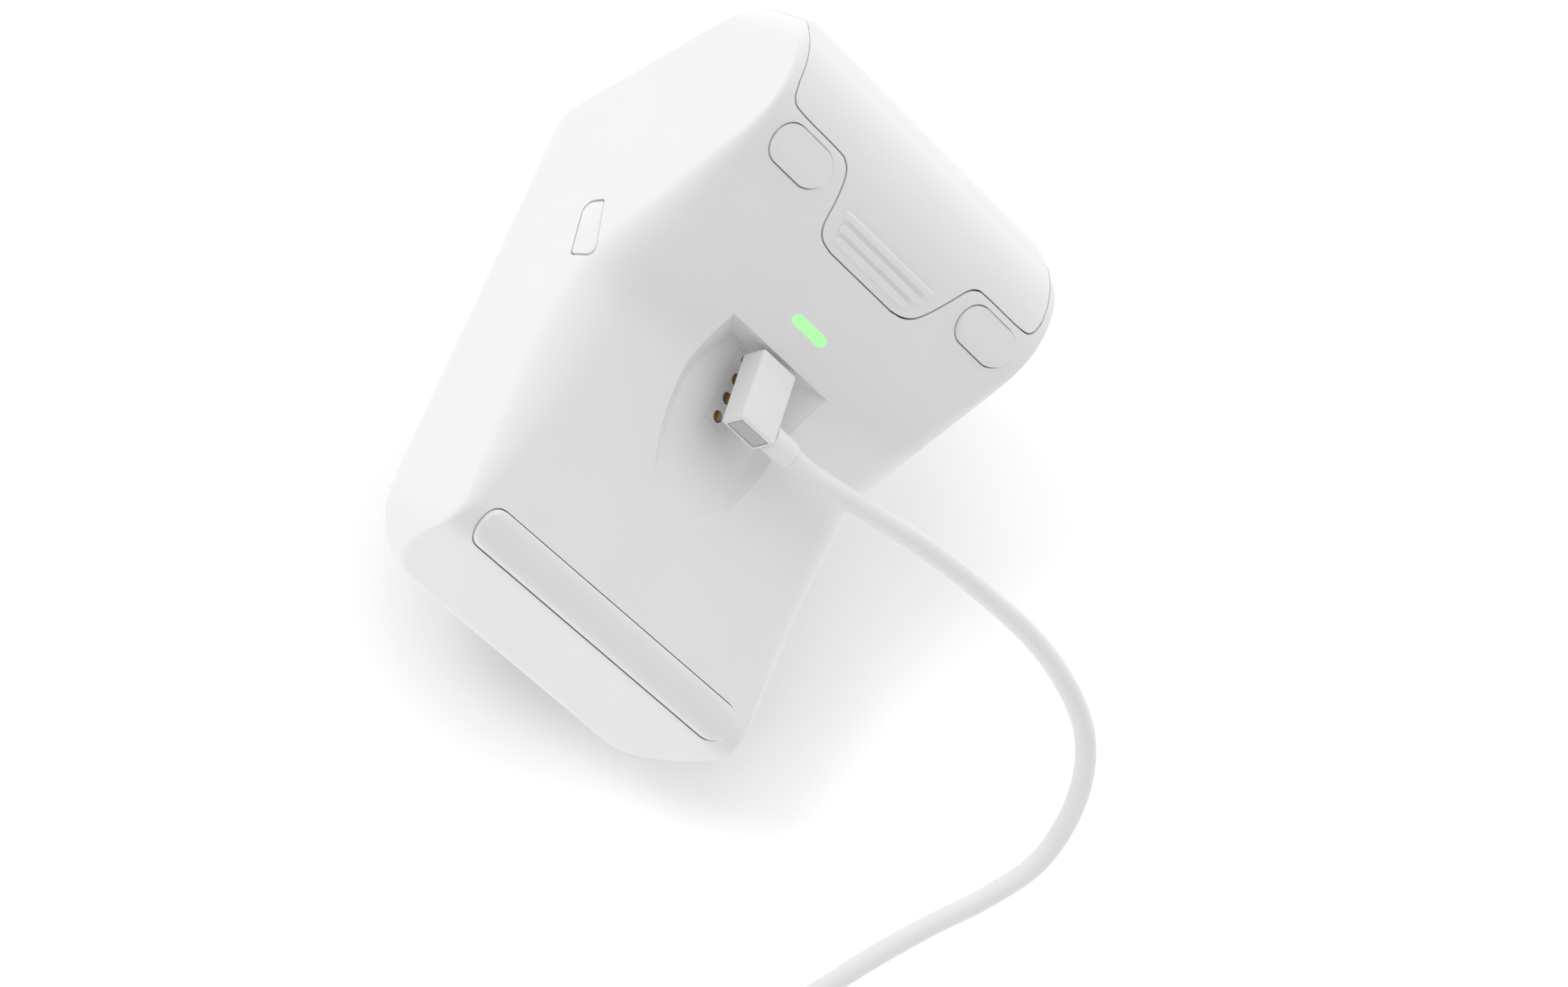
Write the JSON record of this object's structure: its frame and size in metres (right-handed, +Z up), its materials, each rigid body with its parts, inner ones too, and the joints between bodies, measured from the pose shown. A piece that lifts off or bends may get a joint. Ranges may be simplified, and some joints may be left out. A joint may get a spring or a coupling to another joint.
{
  "type": "card payment terminal with receipt printer",
  "caption": "Wedge-shaped card payment terminal with a rear receipt-printer door, a charging dock underneath and a magnetic charging cable.",
  "frame": {"origin": "middle of the terminal's footprint, on the surface its feet stand on (the free cable is left out of this)", "axes": "+X towards the terminal's right side as its user sees it, +Y towards the printer door at the rear, +Z up"},
  "size_m": [0.1867, 0.2275, 0.0642],
  "materials": {
    "white_plastic": "fine matt moulded plastic",
    "white_rubber": "smooth soft sleeve",
    "pale_rubber": "matt soft rubber",
    "dark_glass": "polished, black behind",
    "black_plastic": "satin",
    "grey_plastic": "satin",
    "circuit_board": "solder mask",
    "copper": "bare copper",
    "gold_contact": "worn gold plating",
    "green_light": "lit translucent light pipe",
    "dark_rubber": "matt",
    "steel": "plain steel",
    "paper": "coated thermal paper, wound"
  },
  "bodies": {
    "terminal": {"main_housing": "white_plastic", "display_bezel": "white_plastic", "touch_glass": "dark_glass", "display_module": "black_plastic", "display_bracket": "steel", "nfc_antenna": "copper", "main_board": "circuit_board", "board_shield": "steel", "battery": "grey_plastic", "speaker": "dark_rubber", "wifi_aerial": "copper", "contact_block": "white_plastic", "contact_pad_1": "gold_contact", "contact_pad_2": "gold_contact", "contact_pad_3": "gold_contact", "contact_pad_4": "gold_contact", "dock_magnet_left": "steel", "dock_magnet_right": "steel", "front_foot": "pale_rubber", "rear_foot_left": "pale_rubber", "rear_foot_right": "pale_rubber", "case_screw_1": "steel", "case_screw_2": "steel", "case_screw_3": "steel", "case_screw_4": "steel", "status_light": "green_light", "light_board": "circuit_board", "power_switch": "black_plastic", "hinge_pin_left": "steel", "hinge_pin_right": "steel", "feed_motor": "steel", "motor_idler_pin": "steel", "platen_idler_pin": "steel", "printer_frame": "steel", "print_head": "black_plastic", "head_spring_left": "steel", "head_spring_right": "steel", "tear_bar": "steel", "paper_trough": "grey_plastic", "charge_cord": "white_rubber", "cord_coil": "white_rubber", "usb_relief": "white_rubber", "usb_overmold": "white_plastic", "usb_shell": "steel"},
    "printer_door": {"printer_door": "white_plastic", "door_frame": "grey_plastic"},
    "platen": {"platen_shaft": "steel", "platen_roller": "dark_rubber", "platen_gear": "grey_plastic"},
    "platen_idler": {"platen_idler_gear": "grey_plastic"},
    "motor_idler": {"motor_idler_gear": "grey_plastic"},
    "motor": {"motor_pinion": "grey_plastic"},
    "paper_roll": {"paper_roll": "paper"},
    "power_button": {"power_button": "white_plastic"},
    "plug_lead": {"strain_relief": "white_rubber"},
    "charge_plug": {"plug_shell": "white_plastic", "plug_end_cap": "grey_plastic", "plug_magnet": "steel", "plug_core": "black_plastic"}
  },
  "joints": [
    {"name": "door_hinge", "type": "hinge", "parent": "terminal", "child": "printer_door", "pos_m": [0, 0.02925, 0.0602], "axis": [1, 0, 0], "range_deg": [0, 75]},
    {"name": "platen_spin", "type": "hinge", "parent": "printer_door", "child": "platen", "pos_m": [0, 0.02645, 0.0516], "axis": [1, 0, 0], "continuous": true},
    {"name": "platen_idler_spin", "type": "hinge", "parent": "terminal", "child": "platen_idler", "pos_m": [0, 0.018, 0.04626], "axis": [1, 0, 0], "continuous": true},
    {"name": "motor_idler_spin", "type": "hinge", "parent": "terminal", "child": "motor_idler", "pos_m": [0, 0.01472, 0.0342], "axis": [1, 0, 0], "continuous": true},
    {"name": "motor_spin", "type": "hinge", "parent": "terminal", "child": "motor", "pos_m": [0, 0.00485, 0.0306], "axis": [1, 0, 0], "continuous": true},
    {"name": "roll_spin", "type": "hinge", "parent": "terminal", "child": "paper_roll", "pos_m": [0, 0.03585, 0.0254], "axis": [1, 0, 0], "continuous": true},
    {"name": "power_press", "type": "slide", "parent": "terminal", "child": "power_button", "axis": [-1, 0, 0], "range_m": [0, 0.0004], "stiffness_N_per_m": 500},
    {"name": "dock_slide", "type": "slide", "parent": "terminal", "child": "plug_lead", "axis": [0.0914, -0.0662, 0.9936], "range_m": [0, 0.00657]},
    {"name": "plug_tilt", "type": "hinge", "parent": "plug_lead", "child": "charge_plug", "pos_m": [-0.0006, -0.00257, 0.00548], "axis": [1, 0, 0], "range_deg": [-11.9, 0]}
  ],
  "couplings": [
    {"joint": "platen_idler_spin", "follows": "platen_spin", "ratio": -1},
    {"joint": "motor_idler_spin", "follows": "platen_spin", "ratio": 0.66667},
    {"joint": "motor_spin", "follows": "platen_spin", "ratio": -1.6667},
    {"joint": "plug_tilt", "follows": "dock_slide", "rad_per_m": -31.299}
  ]
}
